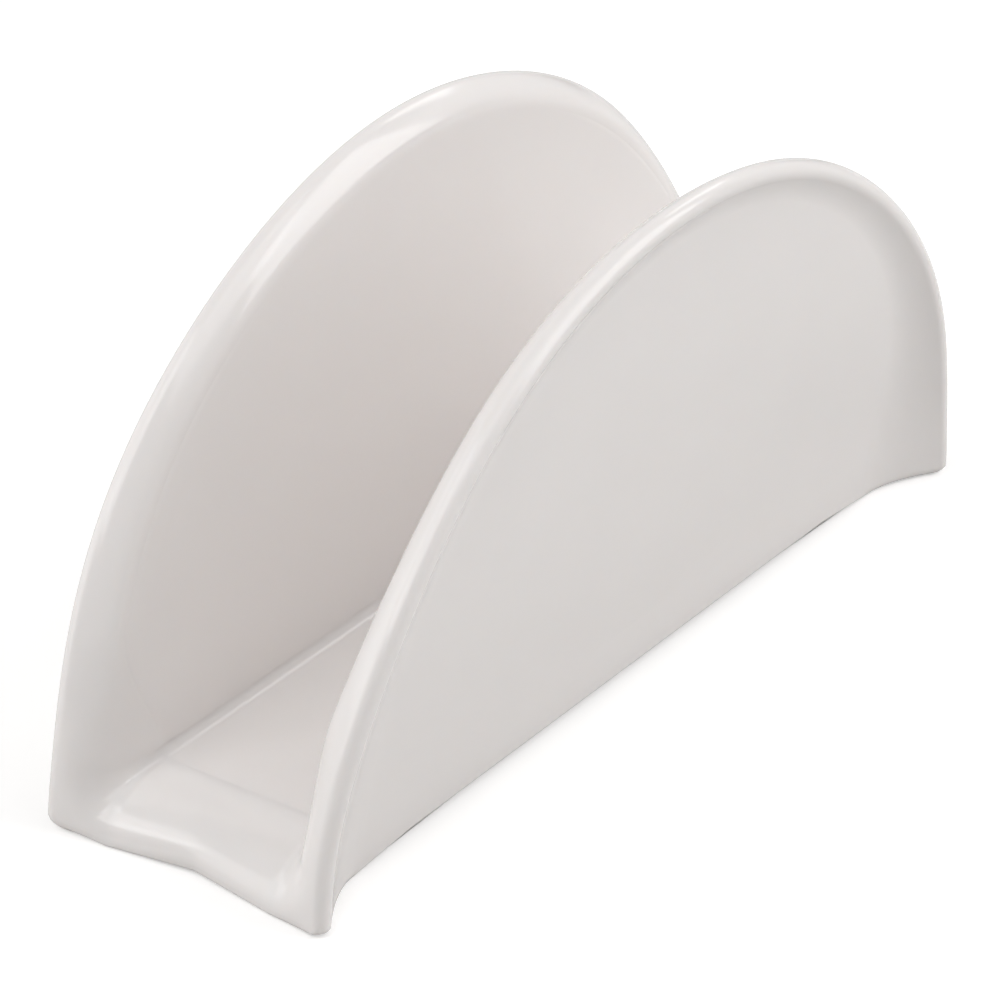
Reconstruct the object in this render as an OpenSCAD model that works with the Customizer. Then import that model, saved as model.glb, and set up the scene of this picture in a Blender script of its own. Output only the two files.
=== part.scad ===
// Open napkin holder in white glazed porcelain: two leaning walls with flared rims,
// joined by a narrow floor whose ends turn down to the table.
// X runs along the holder, Y across it and Z up. The origin is on the table, at the centre.

/* [Overall] */
// Length from one end to the other, at the rims
holder_length = 140; // [100:1:200]
// Height of the rims above the table
holder_height = 66.4; // [45:0.2:100]
// Thickness of the walls
wall_t = 3.3; // [2.4:0.1:4.2]

/* [Channel] */
// Width between the two walls, measured at table level
channel_w = 23.4; // [14:0.2:50]
// Lean of each wall away from upright, in degrees
wall_lean = 4.6; // [0:0.1:8]
// How far the middle of a wall's height bows outwards
wall_bow = 1.4; // [0:0.1:3]
// Height of the floor's top face above the table
floor_top = 6.5; // [5.2:0.1:12]
// Thickness of the floor and of its turned-down lips
floor_t = 3.2; // [2.4:0.1:4.2]

/* [Rim] */
// Radius of the rounded edge of the rim
rim_r = 1.4; // [0.8:0.1:1.8]
// How far the flare carries the middle of the rim outwards at the top
top_out = 3.1; // [2.6:0.1:7]
// How far the flare carries the middle of the rim outwards at the table
foot_out = 6.8; // [5.4:0.1:9]
// How much less than their mix the flare carries the rim outwards halfway up
out_dip = 0.8; // [0:0.1:1.6]
// Width of the flare along the top of a wall
flare_run = 3.7; // [2.5:0.1:10]
// Height at which the flare takes the width that it has along the top
flare_settle_h = 17.8; // [14:0.2:36]
// Slope from the rim back to the outer face, in degrees
back_slope = 25; // [20:1:40]

/* [Ends and feet] */
// Length over which each end of the floor curves down to the table
lip_run = 12.2; // [8:0.2:16]
// How far the middle of each end lies inside its two feet
end_notch = 2.7; // [0:0.1:5]
// How far the middle of each end clears the table
lip_rise = 0.3; // [0:0.1:1.5]
// Length of each foot, from the end to the raised edge between the feet
foot_length = 24; // [20:1:32]
// How far the edge between two feet clears the table
arch_rise = 1; // [0.2:0.1:2]
// Radius of the rounding at the outer corners of the front feet
front_toe_r = 1.2; // [0.4:0.1:4]
// Radius of the rounding at the outer corners of the back feet
back_toe_r = 1.9; // [0.4:0.1:4]

/* [Hidden] */

half_l = holder_length / 2;
half_w = channel_w / 2;
lean_rate = tan(wall_lean);
foot_half_w = half_w + foot_out;
glaze = "#e9e6e3";

// Power of the outline's curve: at 2 it is an ellipse
outline_power = 1.93;
// Slope of the flare at its crease, as a share of its mean slope
crease_share = 0.6;
// Power of the curve of the slope behind the rim: at 1 it is flat
back_power = 1.25;
// What a toe's rounding takes off across the holder as a share of its radius
toe_across_share = 2.1;
// Limit of that, as a share of what the rim stands out from the outer face
toe_limit_share = 0.7;
// Length of a sole as a share of a foot's length
sole_share = 0.66;

// Numbers of steps along the rails and round the section of a wall, and across a lip
low_steps = 6;
arc_steps = 56;
ring_steps = 3;
flare_steps = 5;
cap_steps = 6;
back_steps = 6;
lip_steps = 4;

low_angle = asin(floor_top / holder_height);
rails = 2 * low_steps + arc_steps;

// Share of a way gone, eased at both ends
function eased(way) = let(w = min(1, max(0, way))) w * w * (3 - 2 * w);
function mixed(low, high, way) = low + (high - low) * way;

// Inner face of a wall at a height, as a distance from the middle of the channel
function bow(z) =
    let(way = max(0, (z - floor_top) / (holder_height - floor_top)))
    wall_bow * pow(4 * way * (1 - way), 2);
function seam_y(z) = half_w + z * lean_rate + bow(z);

// Half the length of a wall's outline at a height, full length at the top of the front toes
function outline_share(z) = sqrt(1 - pow(z / holder_height, outline_power));
function edge_x(z) = half_l * outline_share(z) / outline_share(front_toe_r);
floor_half_l = edge_x(floor_top) - lip_run;
sole_half = half_l - foot_length * sole_share;
arch_half = half_l - foot_length;

// Share of the way from the flare's width at a foot to its width along the top
function settled(z) = eased((z - floor_top) / (flare_settle_h - floor_top));
function flare_w(z) = mixed(lip_run, flare_run, settled(z));

// How far the middle of the rim lies outside the wall's inner face, at a height
function rim_out(z) =
    let(way = z / holder_height)
    mixed(foot_out, top_out, way) - out_dip * 4 * way * (1 - way);

// Slope of the flare at the rim: it faces the end up to the floor, and then takes its own slope
function flare_slope(z) =
    let(
        run = settled(z) * flare_w(z) / (2 - crease_share),
        first = atan2(rim_out(z), run)
    )
    atan2(rim_out(z) - rim_r * cos(first), run);
function flare_reach(z) = rim_out(z) - rim_r * cos(flare_slope(z));

// Rounding taken off a foot at a height, and its share that is also taken off across the holder
function toe(z, toe_r) = z < toe_r ? toe_r - sqrt(pow(toe_r, 2) - pow(toe_r - z, 2)) : 0;
function toe_share(toe_r) = min(toe_across_share, toe_limit_share * (foot_out + rim_r - wall_t) / toe_r);
function toe_cut(z, toe_r) = toe(z, toe_r) * toe_share(toe_r);

// How far below the floor's top face a height lies, as a share of the floor's height
function drop_share(z) = max(0, 1 - z / floor_top);

// Curve of a given run at a share of its rise: a quarter round, or a parabola that starts at a crease
function quarter_share(share) = share < 1 ? 1 - sqrt(1 - pow(1 - share, 2)) : 0;
function creased_share(share) =
    share < 1 ? 1 - (sqrt(pow(crease_share, 2) + 4 * (1 - crease_share) * share) - crease_share)
        / (2 * (1 - crease_share)) : 0;
function curve_in(run, share, creased = 0) =
    run * mixed(quarter_share(share), creased_share(share), creased);

// How far a flare lies in from the outline, at a share of its reach and a drop below the floor's top face
function flare_inset(z, share) =
    curve_in(flare_w(z), norm([share, drop_share(z)]), settled(z));

// How far an end is drawn in, at a height and a distance from the middle of the channel
function notch(y, z) = end_notch * max(0, 1 - y / foot_half_w) * drop_share(z);

// Height added along the raised edge of a wall
function arch(x, z) =
    let(way = (sole_half - abs(x)) / (sole_half - arch_half))
    arch_rise * min(1, max(0, way)) * drop_share(z);

// Height of a rail's outer end, its side of the holder, and its length
function rail_angle(i) = mixed(low_angle, 180 - low_angle, (i - low_steps) / arc_steps);
function low_z(k) = floor_top * (1 - cos(90 * k / low_steps));
function rail_z(i) =
    let(k = min(i, rails - i))
    k < low_steps ? low_z(k) : holder_height * sin(rail_angle(i));
function rail_side(i) = i <= rails / 2 ? 1 : -1;
function rail_length(i) =
    let(z = rail_z(i))
    norm([edge_x(z), max(0, z - floor_top)]);

// Point of a wall on a rail: inset from the outline, and offset from the wall's inner face
function wall_point(i, inset, out) =
    let(
        edge_z = rail_z(i),
        way = inset / rail_length(i),
        x = rail_side(i) * edge_x(edge_z) * (1 - way),
        flat_z = mixed(edge_z, min(edge_z, floor_top), way),
        z = flat_z + arch(x, flat_z)
    )
    [x, seam_y(z) + out, z];

// How far the end of the rounded rim stands out from the outer face
function rise(z, toe_r) = rim_out(z) - toe_cut(z, toe_r) + rim_r * cos(back_slope) - wall_t;

// Parts of a wall's section: flare on the inner face, rounded rim, slope back to the outer face
function rim_inset(z, toe_r) = notch(seam_y(z) + rim_out(z), z) + toe(z, toe_r);
function flare_point(i, share, toe_r) =
    let(
        z = rail_z(i),
        out = (flare_reach(z) - toe_cut(z, toe_r)) * share,
        drawn = notch(seam_y(z) + out, z) + toe(z, toe_r) * share + rim_r * (1 - sin(flare_slope(z)))
    )
    wall_point(i, drawn + flare_inset(z, share), out);
function cap_point(i, share, toe_r) =
    let(
        z = rail_z(i),
        angle = mixed(flare_slope(z) - 90, 90 + back_slope, share),
        inset = rim_inset(z, toe_r) + rim_r * (1 - cos(angle))
    )
    wall_point(i, inset, rim_out(z) - toe_cut(z, toe_r) + rim_r * sin(angle));
function back_point(i, share, toe_r) =
    let(
        z = rail_z(i),
        run = back_power * rise(z, toe_r) / tan(back_slope),
        inset = rim_inset(z, toe_r) + rim_r * (1 + sin(back_slope)) + run * share
    )
    wall_point(i, inset, wall_t + rise(z, toe_r) * pow(1 - share, back_power));

// Whole section of a wall along a rail, from the inner face round the rim to the outer face
function section(i, toe_r) = concat(
    [for (k = [0:ring_steps]) wall_point(i, mixed(rail_length(i), foot_length, k / ring_steps), 0)],
    [for (k = [0:flare_steps]) flare_point(i, 1 - cos(90 * k / flare_steps), toe_r)],
    [for (k = [1:cap_steps]) cap_point(i, k / cap_steps, toe_r)],
    [for (k = [1:back_steps]) back_point(i, k / back_steps, toe_r)],
    [for (k = [0:ring_steps]) wall_point(i, mixed(foot_length, rail_length(i), k / ring_steps), wall_t)]
);
section_last = 2 * ring_steps + flare_steps + cap_steps + back_steps + 2;

// Number of a wall's point: rails that meet in the middle of the wall share their inner ends
function point_id(i, k) =
    let(shared = k == 0 || k == section_last)
    (shared ? min(i, rails - i, low_steps) : i) * (section_last + 1) + k;

// Two triangles for four corners, leaving out one that has no area
function quad(a, b, c, d) = concat(
    a == b || b == c || a == c ? [] : [[a, c, b]],
    a == c || c == d || a == d ? [] : [[a, d, c]]
);

module wall(toe_r) {
    points = [for (i = [0:rails]) each section(i, toe_r)];
    skin = [for (i = [0:rails - 1], k = [0:section_last - 1])
        each quad(point_id(i, k), point_id(i, k + 1), point_id(i + 1, k + 1), point_id(i + 1, k))];
    right_sole = [for (k = [0:section_last / 2 - 1])
        each quad(point_id(0, k), point_id(0, section_last - k),
            point_id(0, section_last - k - 1), point_id(0, k + 1))];
    left_sole = [for (k = [0:section_last / 2 - 1])
        each quad(point_id(rails, k), point_id(rails, k + 1),
            point_id(rails, section_last - k - 1), point_id(rails, section_last - k))];
    polyhedron(points = points, faces = concat(skin, right_sole, left_sole), convexity = 6);
}

// Points of a lip's section: outer curve up from the table, then inner curve back down
function lip_point(across, k, inner) =
    let(
        z = low_z(k),
        lift = lip_rise * (1 - abs(across)) * drop_share(z),
        skin_t = inner ? floor_t : 0,
        y = abs(across) * seam_y(z),
        end_x = edge_x(z) - notch(y, z) - skin_t,
        level = z * (floor_top - skin_t) / floor_top + lift
    )
    [end_x - curve_in(lip_run - skin_t, drop_share(z)), across * seam_y(level), level];

function lip_section(across) = concat(
    [for (k = [0:low_steps]) lip_point(across, k, false)],
    [for (k = [low_steps:-1:0]) lip_point(across, k, true)]
);
lip_last = 2 * low_steps + 1;

module lip() {
    stations = [for (j = [0:lip_steps]) mixed(-1, 1, j / lip_steps)];
    points = [for (across = stations) each lip_section(across)];
    first = lip_steps * (lip_last + 1);
    skin = [for (j = [0:lip_steps - 1], k = [0:lip_last])
        let(a = j * (lip_last + 1), b = a + lip_last + 1, next = k == lip_last ? 0 : k + 1)
        each quad(a + k, b + k, b + next, a + next)];
    ends = [for (k = [0:low_steps - 1])
        each concat(
            quad(k, k + 1, lip_last - k - 1, lip_last - k),
            quad(first + k, first + lip_last - k, first + lip_last - k - 1, first + k + 1)
        )];
    polyhedron(points = points, faces = concat(skin, ends), convexity = 4);
}

module floor() {
    low = floor_top - floor_t;
    outline = [
        [-seam_y(low), low],
        [seam_y(low), low],
        [seam_y(floor_top), floor_top],
        [-seam_y(floor_top), floor_top]
    ];
    color(glaze)
        translate([-floor_half_l, 0, 0])
            rotate([90, 0, 90])
                linear_extrude(height = 2 * floor_half_l) polygon(outline);
}

module right_lip() {
    color(glaze) lip();
}

module left_lip() {
    color(glaze) mirror([1, 0, 0]) lip();
}

module back_wall() {
    color(glaze) wall(back_toe_r);
}

module front_wall() {
    color(glaze) mirror([0, 1, 0]) wall(front_toe_r);
}

floor();
left_lip();
right_lip();
front_wall();
back_wall();
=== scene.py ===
import math

import bmesh
import bpy
from mathutils import Matrix, Vector


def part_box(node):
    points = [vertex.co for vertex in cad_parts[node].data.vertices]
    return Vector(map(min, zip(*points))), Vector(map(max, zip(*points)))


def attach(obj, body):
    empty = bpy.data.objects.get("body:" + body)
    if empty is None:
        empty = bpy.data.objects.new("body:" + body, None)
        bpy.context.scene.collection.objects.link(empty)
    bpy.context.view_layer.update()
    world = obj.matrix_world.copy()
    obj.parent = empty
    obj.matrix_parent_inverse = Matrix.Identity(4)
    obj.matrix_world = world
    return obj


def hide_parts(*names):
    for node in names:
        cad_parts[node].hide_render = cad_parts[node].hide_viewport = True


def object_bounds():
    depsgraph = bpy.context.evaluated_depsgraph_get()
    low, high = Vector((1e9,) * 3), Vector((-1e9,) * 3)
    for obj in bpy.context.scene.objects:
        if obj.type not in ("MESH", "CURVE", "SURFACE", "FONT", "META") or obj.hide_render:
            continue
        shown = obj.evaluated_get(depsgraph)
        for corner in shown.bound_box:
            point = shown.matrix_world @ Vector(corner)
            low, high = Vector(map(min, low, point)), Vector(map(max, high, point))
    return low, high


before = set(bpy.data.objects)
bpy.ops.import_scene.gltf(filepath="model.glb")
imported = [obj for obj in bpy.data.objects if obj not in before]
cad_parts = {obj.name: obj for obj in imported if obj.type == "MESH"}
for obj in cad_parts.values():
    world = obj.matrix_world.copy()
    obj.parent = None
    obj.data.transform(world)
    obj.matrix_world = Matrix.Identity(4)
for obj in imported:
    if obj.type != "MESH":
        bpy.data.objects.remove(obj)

# White porcelain napkin holder: two leaning walls with flared rims, joined by a narrow floor.
# Shapes are worked out in millimetres along the frame's axes, and turned to metres as each mesh is made.
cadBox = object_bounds()
mm = 0.001


# Small helpers for numbers and colours

def mixed(low, high, way):
    return low + (high - low) * way


def eased(way):
    w = min(1.0, max(0.0, way))
    return w * w * (3 - 2 * w)


def crowded(way):  # steps that crowd together at both ends
    return (1 - math.cos(math.pi * way)) / 2


def roundedCut(radius, height):  # what a rounding takes off at a height above its edge
    if height >= radius:
        return 0.0
    return radius - math.sqrt(max(0.0, radius ** 2 - (radius - height) ** 2))


def linearColour(hexColour):
    channels = [int(hexColour[k:k + 2], 16) / 255 for k in (1, 3, 5)]
    linear = [c / 12.92 if c <= 0.04045 else ((c + 0.055) / 1.055) ** 2.4 for c in channels]
    return (*linear, 1.0)


# The holder's sizes in millimetres. The overall ones come from the frame.

holder = {
    "wallThickness": 3.3,
    "wallLean": 4.6,            # degrees from upright
    "wallBow": 1.37,            # how far the middle of a wall bows outwards
    "outlinePower": 1.93,       # 2 makes the outline an ellipse, less makes it fuller at the ends
    "rimRadius": 1.45,
    "topOut": 4.5,              # how far the rim's outermost line stands outside the inner face at the top
    "footOut": 8.2,             # and at the table
    "outDip": 0.8,              # how much less than their mix it is halfway up
    "flareRun": 3.7,            # width of the flare along the top
    "flareSettleHeight": 25.0,  # above this the flare keeps the width that it has along the top
    "flarePower": 2.5,          # 2 spreads the flare's bend evenly, more keeps it near the rim
    "creaseStep": 0.22,         # the panel inside the crease stands this much proud of the flare
    "creaseStart": 4.0,         # height above the floor's fillet over which that step comes in
    "creaseFade": (0.62, 0.95),  # shares of the height between which it melts away
    "backSlope": 34.0,          # degrees, from the rim back to the outer face
    "backPower": 2.1,           # 1 makes that slope flat, 2 eases it into the outer face
    "footBackPower": 1.8,       # the same at a foot
    "footHeight": 14.0,         # a foot blends into the wall up to here
    "footLength": 24.0,
    "soleShare": 0.66,          # of a foot's length
    "endNotch": 2.7,            # how far the middle of each end is drawn in
    "lipRise": 0.3,             # how far the middle of each end clears the table
    "archRise": 1.0,            # how far the edge between two feet clears the table
    "frontToeRadius": 1.2,
    "backToeRadius": 1.9,
    "toeAcrossShare": 2.1,      # what a toe's rounding takes off across the holder, as a share of its radius
    "toeLimitShare": 0.7,
    "filletRadius": 1.2,        # glaze fills the corner between the floor and a wall
    "underFillet": 1.2,         # the same under the floor
    "underFilletFade": 8.0,     # length over which it dies out before each lip
    "edgeRounding": 0.5,        # softened lower edges
    "creaseRounding": 0.5,
}

steps = {
    "low": 26,                  # rails below the top of the floor's fillet
    "arc": 220,                 # rails along the half ellipse
    "flare": 18,
    "flareCrowding": 1.3,       # more crowds them towards the crease
    "cap": 18,
    "back": 14,
    "rings": 5,                 # between the rim and the middle of a wall
    "fillet": 14,
    "across": 12,
    "along": 28,
}

floorLow, floorHigh = (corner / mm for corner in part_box("floor"))
halfLength, _, holderHeight = cadBox[1] / mm
floorTop = floorHigh.z
floorUnder = floorLow.z
floorHalfLength = floorHigh.x
leanRate = math.tan(math.radians(holder["wallLean"]))
halfWidth = floorHigh.y - floorTop * leanRate
footHalfWidth = halfWidth + holder["footOut"] - holder["rimRadius"]
floorThickness = floorTop - floorUnder
hubHeight = floorTop + holder["filletRadius"]
archHalf = halfLength - holder["footLength"]
soleHalf = halfLength - holder["footLength"] * holder["soleShare"]
backSlope = math.radians(holder["backSlope"])


def seamY(z):  # inner face of a wall, as a distance from the middle of the channel
    way = max(0.0, (z - floorTop) / (holderHeight - floorTop))
    return halfWidth + z * leanRate + holder["wallBow"] * (4 * way * (1 - way)) ** 2


def outlineShare(z):
    return math.sqrt(max(0.0, 1 - max(0.0, z / holderHeight) ** holder["outlinePower"]))


def edgeX(z):  # half the length of a wall's outline at a height
    return halfLength * outlineShare(z) / outlineShare(holder["frontToeRadius"])


lipRun = edgeX(floorTop) - floorHalfLength


def settled(z):  # share of the way from the flare's width at a foot to its width along the top
    return eased((z - hubHeight) / (holder["flareSettleHeight"] - hubHeight))


def flareWidth(z):
    return mixed(lipRun, holder["flareRun"], settled(z))


def rimOut(z):  # middle of the rim, outside the inner face
    way = z / holderHeight
    edge = mixed(holder["footOut"], holder["topOut"], way) - holder["outDip"] * 4 * way * (1 - way)
    return edge - holder["rimRadius"]


def creaseStep(z):
    low, high = holder["creaseFade"]
    fade = eased((z / holderHeight - low) / (high - low))
    return holder["creaseStep"] * eased((z - hubHeight) / holder["creaseStart"]) * (1 - fade)


def flareSlope(z):  # at the rim
    run = settled(z) * flareWidth(z) / holder["flarePower"]
    slope = math.atan2(rimOut(z), run)
    for _ in range(4):
        slope = math.atan2(rimOut(z) - holder["rimRadius"] * math.cos(slope), run)
    return slope


def flareReach(z):
    return rimOut(z) - holder["rimRadius"] * math.cos(flareSlope(z))


def toeCut(z, radius):  # what a toe's rounding takes off across the holder
    room = holder["footOut"] - holder["wallThickness"]
    share = min(holder["toeAcrossShare"], holder["toeLimitShare"] * room / radius)
    return roundedCut(radius, z) * share


def dropShare(z):
    return max(0.0, 1 - z / floorTop)


def notch(y, z):
    return holder["endNotch"] * max(0.0, 1 - y / footHalfWidth) * dropShare(z)


def arch(x, z):
    way = (soleHalf - abs(x)) / (soleHalf - archHalf)
    return holder["archRise"] * min(1.0, max(0.0, way)) * dropShare(z)


def curveIn(run, share, creased):  # a quarter round at a foot, a power curve above it
    if share >= 1:
        return 0.0
    quarter = 1 - math.sqrt(max(0.0, 1 - (1 - share) ** 2))
    return run * mixed(quarter, 1 - share ** (1 / holder["flarePower"]), creased)


def fanShare(out, z):
    # The corner between floor and wall opens like a trumpet: an ellipse that grows from the fillet.
    # Returns how far it has grown, from 0 at the fillet to 1 at the rim, where it passes this point.
    fillet = holder["filletRadius"]
    across = max(0.0, out + fillet)
    down = hubHeight - z
    if down <= 0:
        return max(0.0, out / flareReach(z))
    low, high = 0.0, 2.0
    for _ in range(40):
        middle = (low + high) / 2
        reach = math.hypot(across / (middle * flareReach(z) + fillet), down / (middle * floorTop + fillet))
        low, high = (middle, high) if reach > 1 else (low, middle)
    return low


def endInset(out, z):  # how far the visible end or flare lies in from the outline
    return curveIn(flareWidth(z), fanShare(out, z), settled(z))


# Walls: rails run from the outline to a hub in the middle of the floor's edge

railCount = 2 * steps["low"] + steps["arc"]
hubAngle = math.asin(hubHeight / holderHeight)


def railHeight(i):
    k = min(i, railCount - i)
    if k < steps["low"]:
        return hubHeight * crowded(k / steps["low"])
    return holderHeight * math.sin(mixed(hubAngle, math.pi - hubAngle, (i - steps["low"]) / steps["arc"]))


def wallPoint(i, inset, out):
    edgeZ = railHeight(i)
    side = 1 if i <= railCount / 2 else -1
    way = inset / math.hypot(edgeX(edgeZ), max(0.0, edgeZ - hubHeight))
    x = side * edgeX(edgeZ) * (1 - way)
    flatZ = mixed(edgeZ, min(edgeZ, hubHeight), way)
    z = flatZ + arch(x, flatZ)
    return Vector((x, seamY(z) + out, z))


def wallSection(i, toeRadius):
    z = railHeight(i)
    radius, thickness, slope = holder["rimRadius"], holder["wallThickness"], flareSlope(z)
    toe, cut = roundedCut(toeRadius, z), toeCut(z, toeRadius)
    rimInset = notch(seamY(z) + rimOut(z), z) + toe
    softened = roundedCut(holder["edgeRounding"], z)
    length = math.hypot(edgeX(z), max(0.0, z - hubHeight))

    flare = []
    for k in range(steps["flare"] + 1):
        share = (1 - math.cos(math.pi / 2 * k / steps["flare"])) ** steps["flareCrowding"]
        out = (flareReach(z) - cut) * share
        drawn = notch(seamY(z) + out, z) + mixed(softened, toe, share) + radius * (1 - math.sin(slope))
        flare.append((drawn + endInset(flareReach(z) * share, z), out + creaseStep(z) * (1 - share) ** 2))

    crease = flare[0][0]
    heel = crease + floorThickness
    inner = [(length * (1 - k / steps["rings"]) + (heel + softened) * k / steps["rings"], softened)
             for k in range(steps["rings"] + 1)]
    inner += [(heel, 0.0), (crease + holder["creaseRounding"], 0.0)]

    cap = []
    for k in range(1, steps["cap"] + 1):
        angle = mixed(slope - math.pi / 2, math.pi / 2 + backSlope, k / steps["cap"])
        cap.append((rimInset + radius * (1 - math.cos(angle)), rimOut(z) - cut + radius * math.sin(angle)))

    back = []
    rise = cap[-1][1] - thickness
    power = mixed(holder["footBackPower"], holder["backPower"], eased(z / holder["footHeight"]))
    run = power * rise / math.tan(backSlope)
    for k in range(1, steps["back"] + 1):
        way = crowded(k / steps["back"])
        out = thickness + rise * (1 - way) ** power
        back.append((cap[-1][0] + run * way, out - softened * way))

    start = back[-1][0]
    outer = [(mixed(start, length, k / steps["rings"]), thickness - softened)
             for k in range(1, steps["rings"] + 1)]
    return [wallPoint(i, inset, out) for inset, out in inner + flare + cap + back + outer]


def wallShape(toeRadius):
    sections = [wallSection(i, toeRadius) for i in range(railCount + 1)]
    count = len(sections[0])
    points = [p for section in sections for p in section]
    faces = [(i * count + k, (i + 1) * count + k, (i + 1) * count + k + 1, i * count + k + 1)
             for i in range(railCount) for k in range(count - 1)]
    faces.append([*range(count)])
    faces.append([railCount * count + k for k in reversed(range(count))])
    return points, faces


# Floor: a strip with upturned fillets at its sides

def acrossStations():  # places across the floor: a share of its flat half width, and a depth into the fillet
    flat = [(mixed(-1, 1, k / steps["across"]), None) for k in range(steps["across"] + 1)]
    depths = [holder["filletRadius"] * (1 - math.sin(math.pi / 2 * k / steps["fillet"]))
              for k in range(1, steps["fillet"] + 1)]
    left = [(-1, depth) for depth in reversed(depths)]
    return left + flat + [(1, depth) for depth in depths]


def stationTop(station):
    share, depth = station
    return floorTop if depth is None else floorTop + roundedCut(holder["filletRadius"], depth)


def stationY(station, z):
    share, depth = station
    if depth is None:
        return share * (seamY(z) - holder["filletRadius"])
    return share * (seamY(z) - depth)


def floorSection(along):
    stations = acrossStations()
    top = []
    for station in stations:
        z = stationTop(station)
        top.append(Vector((along * (edgeX(z) - lipRun), stationY(station, z), z)))
    x = along * floorHalfLength
    fillet = holder["underFillet"] * eased((floorHalfLength - abs(x)) / holder["underFilletFade"])
    under = []
    for k in range(steps["fillet"] + 1):
        depth = fillet * (1 - math.cos(math.pi / 2 * k / steps["fillet"]))
        z = floorUnder - roundedCut(fillet, depth) if fillet else floorUnder
        under.append(Vector((x, seamY(z) - depth, z)))
    return top + under + [Vector((p.x, -p.y, p.z)) for p in reversed(under)]


def loftShape(sections):  # closed rings of points, joined along the piece and closed at its ends
    count = len(sections[0])
    points = [p for section in sections for p in section]
    faces = []
    for i in range(len(sections) - 1):
        here, there = i * count, (i + 1) * count
        for k in range(count):
            after = (k + 1) % count
            faces.append((here + k, here + after, there + after, there + k))
    last = (len(sections) - 1) * count
    faces.append([*reversed(range(count))])
    faces.append([last + k for k in range(count)])
    return points, faces


def floorShape():
    shares = [mixed(-1, 1, crowded(k / steps["along"])) for k in range(steps["along"] + 1)]
    return loftShape([floorSection(share) for share in shares])


# Lips: the floor's ends, which curve down to the table

def lipSection(station):
    outer, inner = [], []
    for k in range(steps["low"] + 1):
        way = crowded(k / steps["low"])
        z = way * stationTop(station)
        y = abs(stationY(station, z))
        lift = holder["lipRise"] * max(0.0, 1 - y / seamY(z)) * dropShare(z)
        softened = roundedCut(holder["edgeRounding"], z)
        x = edgeX(z) - notch(y, z) - softened - endInset(y - seamY(z), z)
        outer.append(Vector((x, stationY(station, z + lift), z + lift)))

        z = way * floorTop
        softened = roundedCut(holder["edgeRounding"], way * floorUnder)
        x = edgeX(z) - notch(y, z) - floorThickness + softened - curveIn(lipRun - floorThickness, way, 0)
        level = way * floorUnder + lift
        inner.append(Vector((x, stationY(station, level), level)))
    return outer + inner[::-1]


def lipShape():
    return loftShape([lipSection(station) for station in acrossStations()])


# Meshes

weldGap = 0.0005                # millimetres between points that are one
seamGap = 0.02                  # how close to a seam a face lies that the seam hides
endGap = 0.2
gridSteps = 200000              # in a metre, for finding points of two pieces that meet


def makePiece(name, shape, node, flip=(1, 1, 1)):
    points, faces = shape
    mesh = bpy.data.meshes.new(name)
    mesh.from_pydata([Vector((p.x * flip[0], p.y * flip[1], p.z * flip[2])) * mm for p in points], [], faces)
    build = bmesh.new()
    build.from_mesh(mesh)
    bmesh.ops.remove_doubles(build, verts=build.verts, dist=weldGap * mm)
    bmesh.ops.recalc_face_normals(build, faces=build.faces)
    build.to_mesh(mesh)
    build.free()
    piece = bpy.data.objects.new(name, mesh)
    bpy.context.scene.collection.objects.link(piece)
    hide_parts(node)
    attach(piece, "root")
    return piece


lip = lipShape()
pieces = [
    makePiece("glazed_floor", floorShape(), "floor"),
    makePiece("glazed_right_lip", lip, "right_lip"),
    makePiece("glazed_left_lip", lip, "left_lip", flip=(-1, 1, 1)),
    makePiece("glazed_back_wall", wallShape(holder["backToeRadius"]), "back_wall"),
    makePiece("glazed_front_wall", wallShape(holder["frontToeRadius"]), "front_wall", flip=(1, -1, 1)),
]
print("porcelain body built:", sum(len(p.data.polygons) for p in pieces), "faces")


def hiddenFace(face):  # where two sections of the body meet
    centre = face.center / mm
    onSeam = abs(abs(centre.y) - seamY(centre.z)) < seamGap and centre.z < hubHeight
    onEnd = abs(face.normal.x) > 0.99 and abs(abs(centre.x) - floorHalfLength) < endGap
    return onSeam or onEnd


def gridKey(mesh, v):
    return tuple(round(c * gridSteps) for c in mesh.vertices[v].co)


def shareNormals(pieces, sharpest=math.radians(45)):
    # The glaze runs over the whole body, so sections that meet share their normals
    around = {}
    for piece in pieces:
        for face in piece.data.polygons:
            if not hiddenFace(face):
                for v in face.vertices:
                    around.setdefault(gridKey(piece.data, v), []).append((face.normal.copy(), face.area))
    limit = math.cos(sharpest)
    for piece in pieces:
        mesh = piece.data
        normals = [None] * len(mesh.loops)
        for face in mesh.polygons:
            face.use_smooth = True
            hidden = hiddenFace(face)
            for loop in face.loop_indices:
                total = Vector()
                if not hidden:
                    for normal, area in around.get(gridKey(mesh, mesh.loops[loop].vertex_index), []):
                        if normal.dot(face.normal) > limit:
                            total += normal * area
                normals[loop] = total.normalized() if total.length > 0 else face.normal.copy()
        mesh.normals_split_custom_set(normals)


shareNormals(pieces)
print("normals shared")


# Glazed porcelain: white clay pressed in a plaster mould, dipped in a clear feldspar glaze and fired.
# It gives the eye a pale, faintly pink white, small sharp highlights, and soft broad shading.

glaze = {
    "colour": "#f4f0ee",
    "pooledColour": "#f1edeb",  # where the glaze ran a little thicker
    "pooledSize": 18.0,         # millimetres from one cloud to the next
    "roughness": (0.10, 0.15),
    "roughnessSize": 7.0,
    "ior": 1.52,
    "rippleHeight": 0.012,      # millimetres, slow waves of the fired glaze
    "rippleSize": 9.0,
    "peelHeight": 0.0012,       # fine orange peel
    "peelSize": 1.1,
    "bareColour": "#ece6df",    # ground soles without glaze
    "bareRoughness": 0.75,
    "bareHeight": 0.12,         # they reach this far above the table
    "subsurface": 0.12,
    "subsurfaceDepth": (1.1, 0.9, 0.75),
}


def addNode(tree, kind, settings=(), links=()):
    node = tree.nodes.new(kind)
    for key, value in dict(settings).items():
        if isinstance(key, str) and hasattr(node, key):
            setattr(node, key, value)
        else:
            node.inputs[key].default_value = value
    for key, source in dict(links).items():
        tree.links.new(source, node.inputs[key])
    return node


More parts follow.
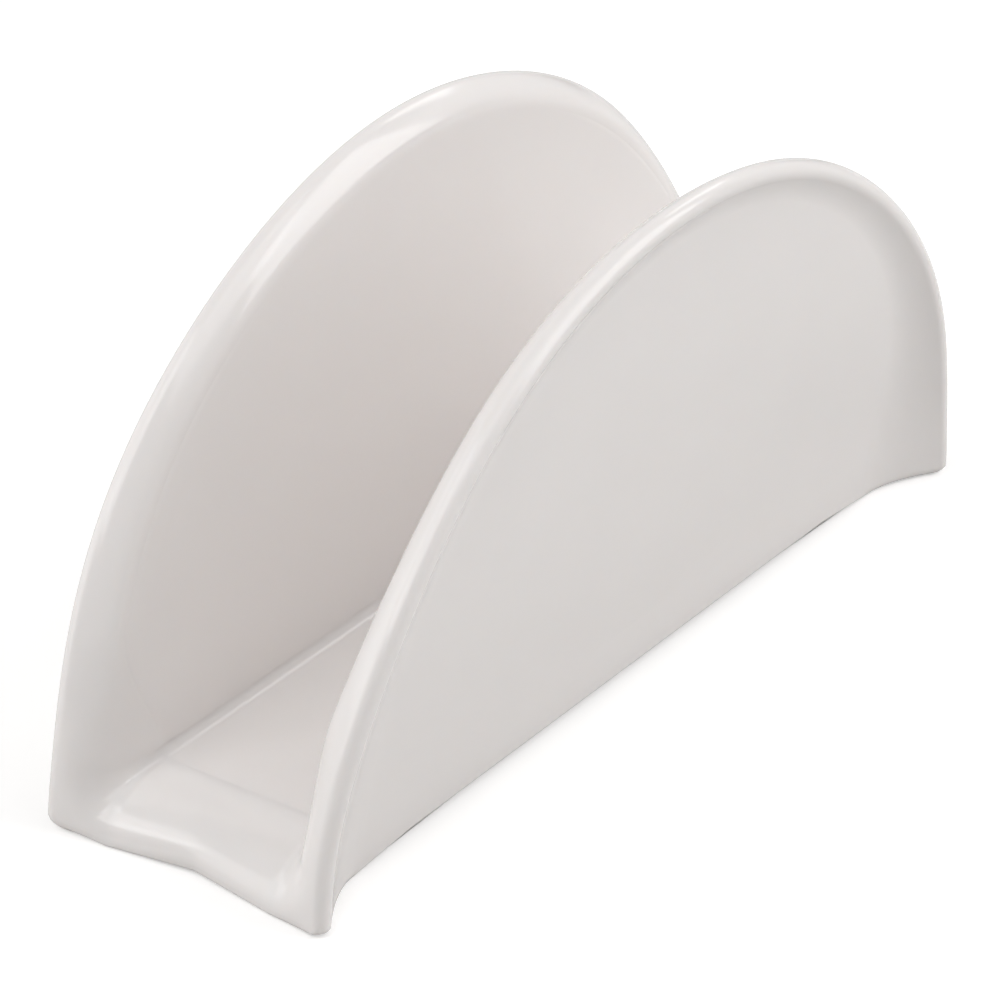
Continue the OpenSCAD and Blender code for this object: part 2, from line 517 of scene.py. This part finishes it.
def glazedPorcelain():
    material = bpy.data.materials.new("pressedGlazedPorcelain")
    material.use_nodes = True
    tree = material.node_tree
    shader = tree.nodes["Principled BSDF"]
    place = addNode(tree, "ShaderNodeTexCoord").outputs["Object"]

    def noise(size, detail):
        return addNode(tree, "ShaderNodeTexNoise", {"Scale": 1 / (size * mm), "Detail": detail},
                       {"Vector": place}).outputs["Fac"]

    height = addNode(tree, "ShaderNodeSeparateXYZ", links={0: place}).outputs["Z"]
    glazed = addNode(tree, "ShaderNodeMapRange", {"From Min": 0.4 * glaze["bareHeight"] * mm,
                     "From Max": glaze["bareHeight"] * mm}, {"Value": height}).outputs[0]

    pooled = addNode(tree, "ShaderNodeMix", {"data_type": "RGBA", 6: linearColour(glaze["colour"]),
                     7: linearColour(glaze["pooledColour"])}, {0: noise(glaze["pooledSize"], 3)})
    colour = addNode(tree, "ShaderNodeMix", {"data_type": "RGBA", 6: linearColour(glaze["bareColour"])},
                     {0: glazed, 7: pooled.outputs[2]})
    tree.links.new(colour.outputs[2], shader.inputs["Base Color"])

    smoothest, roughest = glaze["roughness"]
    smooth = addNode(tree, "ShaderNodeMapRange", {"To Min": smoothest, "To Max": roughest},
                     {"Value": noise(glaze["roughnessSize"], 2)})
    rough = addNode(tree, "ShaderNodeMix", {2: glaze["bareRoughness"]}, {0: glazed, 3: smooth.outputs[0]})
    tree.links.new(rough.outputs[0], shader.inputs["Roughness"])

    ripple = addNode(tree, "ShaderNodeBump", {"Distance": glaze["rippleHeight"] * mm},
                     {"Height": noise(glaze["rippleSize"], 1)})
    peel = addNode(tree, "ShaderNodeBump", {"Distance": glaze["peelHeight"] * mm},
                   {"Height": noise(glaze["peelSize"], 2), "Normal": ripple.outputs[0]})
    tree.links.new(peel.outputs[0], shader.inputs["Normal"])

    shader.inputs["IOR"].default_value = glaze["ior"]
    shader.inputs["Subsurface Weight"].default_value = glaze["subsurface"]
    shader.inputs["Subsurface Radius"].default_value = glaze["subsurfaceDepth"]
    shader.inputs["Subsurface Scale"].default_value = mm
    return material


porcelain = glazedPorcelain()
for piece in pieces:
    piece.data.materials.append(porcelain)


# Stage: a pale floor that runs into a white background

stage = {
    "floorSize": 6.0,           # metres
    "floorColour": "#dfdedd",
    "floorLift": (0.42, 1.0),   # white added for the camera alone, near the holder and far from it
    "liftReach": (0.25, 0.55),  # metres from the holder
    "gap": 0.00002,             # metres under the feet
    "worldLevel": 0.04,         # what the room gives besides the lamps
}


def makeFloor():
    mesh = bpy.data.meshes.new("table_top")
    half = stage["floorSize"] / 2
    corners = [(-half, -half, 0), (half, -half, 0), (half, half, 0), (-half, half, 0)]
    mesh.from_pydata(corners, [], [(0, 1, 2, 3)])
    table = bpy.data.objects.new("table_top", mesh)
    bpy.context.scene.collection.objects.link(table)
    table.location.z = -stage["gap"]
    material = bpy.data.materials.new("whiteTableTop")
    material.use_nodes = True
    tree = material.node_tree
    shader = tree.nodes["Principled BSDF"]
    shader.inputs["Base Color"].default_value = linearColour(stage["floorColour"])
    shader.inputs["Roughness"].default_value = 0.9
    shader.inputs["Specular IOR Level"].default_value = 0.0
    path = addNode(tree, "ShaderNodeLightPath")
    place = addNode(tree, "ShaderNodeTexCoord")
    distance = addNode(tree, "ShaderNodeVectorMath", {"operation": "LENGTH"}, {0: place.outputs["Object"]})
    near, far = stage["liftReach"]
    nearLift, farLift = stage["floorLift"]
    level = addNode(tree, "ShaderNodeMapRange", {"From Min": near, "From Max": far, "To Min": nearLift,
                    "To Max": farLift}, {"Value": distance.outputs["Value"]})
    lift = addNode(tree, "ShaderNodeMath", {"operation": "MULTIPLY"},
                   {0: path.outputs["Is Camera Ray"], 1: level.outputs[0]})
    tree.links.new(lift.outputs[0], shader.inputs["Emission Strength"])
    shader.inputs["Emission Color"].default_value = (1, 1, 1, 1)
    mesh.materials.append(material)


def makeWorld():
    world = bpy.data.worlds.new("softWhite")
    bpy.context.scene.world = world
    world.use_nodes = True
    tree = world.node_tree
    tree.nodes.clear()
    path = addNode(tree, "ShaderNodeLightPath")
    level = addNode(tree, "ShaderNodeMix", {2: stage["worldLevel"], 3: 1.0},
                    {0: path.outputs["Is Camera Ray"]})
    background = addNode(tree, "ShaderNodeBackground", {0: (1, 1, 1, 1)}, {1: level.outputs[0]})
    addNode(tree, "ShaderNodeOutputWorld", links={0: background.outputs[0]})


makeFloor()
makeWorld()


# Camera at the photograph's viewing angle

view = {
    "azimuth": -57.171,         # degrees, 0 looks along +Y
    "elevation": 30.458,
    "roll": 2.507,
    "distance": 667.74,         # millimetres to the middle of the holder's footprint
    "lens": 195.06,             # on a sensor 36 mm wide
    "aimRight": -3.005,         # millimetres from the footprint's middle to the picture's middle
    "aimUp": 16.925,
}


def makeCamera():
    azimuth, elevation = math.radians(view["azimuth"]), math.radians(view["elevation"])
    back = Vector((math.sin(azimuth) * math.cos(elevation), -math.cos(azimuth) * math.cos(elevation),
                   math.sin(elevation)))
    right = (-back).cross(Vector((0, 0, 1))).normalized()
    up = right.cross(-back)
    turn = math.radians(view["roll"])
    right, up = right * math.cos(turn) + up * math.sin(turn), up * math.cos(turn) - right * math.sin(turn)
    place = back * view["distance"]
    aim = right * view["aimRight"] + up * view["aimUp"]
    backward = (place - aim).normalized()
    side = up.cross(backward).normalized()
    upward = backward.cross(side)
    data = bpy.data.cameras.new("camera")
    data.lens = view["lens"]
    data.sensor_width = 36
    data.clip_start, data.clip_end = 0.05, 20
    camera = bpy.data.objects.new("camera", data)
    turned = Matrix((side, upward, backward)).transposed().to_4x4()
    turned.translation = place * mm
    camera.matrix_world = turned
    bpy.context.scene.collection.objects.link(camera)
    bpy.context.scene.camera = camera


makeCamera()
bpy.context.scene.view_settings.view_transform = "Standard"


# Lights

# Azimuth runs in degrees from -X towards -Y. Distance and size are in metres, power in watts.
lamps = {
    "key": {"azimuth": 124, "elevation": 35, "distance": 1.0, "size": (0.7, 0.95), "power": 5.6},
    "overhead": {"azimuth": 78, "elevation": 68, "distance": 1.1, "size": (0.8, 0.8), "power": 2.5},
    "near end": {"azimuth": -12, "elevation": 50, "distance": 1.0, "size": (0.8, 0.7), "power": 4.2},
    "far end": {"azimuth": 168, "elevation": 20, "distance": 1.0, "size": (0.7, 0.7), "power": 0.8},
    "glint": {"azimuth": 180, "elevation": 42, "distance": 1.0, "size": (0.3, 0.3), "power": 0.7},
    "back": {"azimuth": -125, "elevation": 22, "distance": 1.0, "size": (1.7, 0.9), "power": 2.3},
    "left": {"azimuth": -57, "elevation": 22, "distance": 1.0, "size": (1.1, 0.75), "power": 3.7},
}

lampAim = Vector((0, 0, 0.03))


def makeLamp(name, lamp):
    azimuth, elevation = math.radians(lamp["azimuth"]), math.radians(lamp["elevation"])
    place = Vector((-math.cos(azimuth) * math.cos(elevation), -math.sin(azimuth) * math.cos(elevation),
                    math.sin(elevation))) * lamp["distance"]
    data = bpy.data.lights.new(name, "AREA")
    data.shape = "RECTANGLE"
    data.size, data.size_y = lamp["size"]
    data.energy = lamp["power"]
    obj = bpy.data.objects.new(name, data)
    obj.location = place
    obj.rotation_euler = (place - lampAim).to_track_quat("Z", "Y").to_euler()
    bpy.context.scene.collection.objects.link(obj)


for name, lamp in lamps.items():
    makeLamp(name, lamp)
print("stage, camera and", len(lamps), "lamps set")
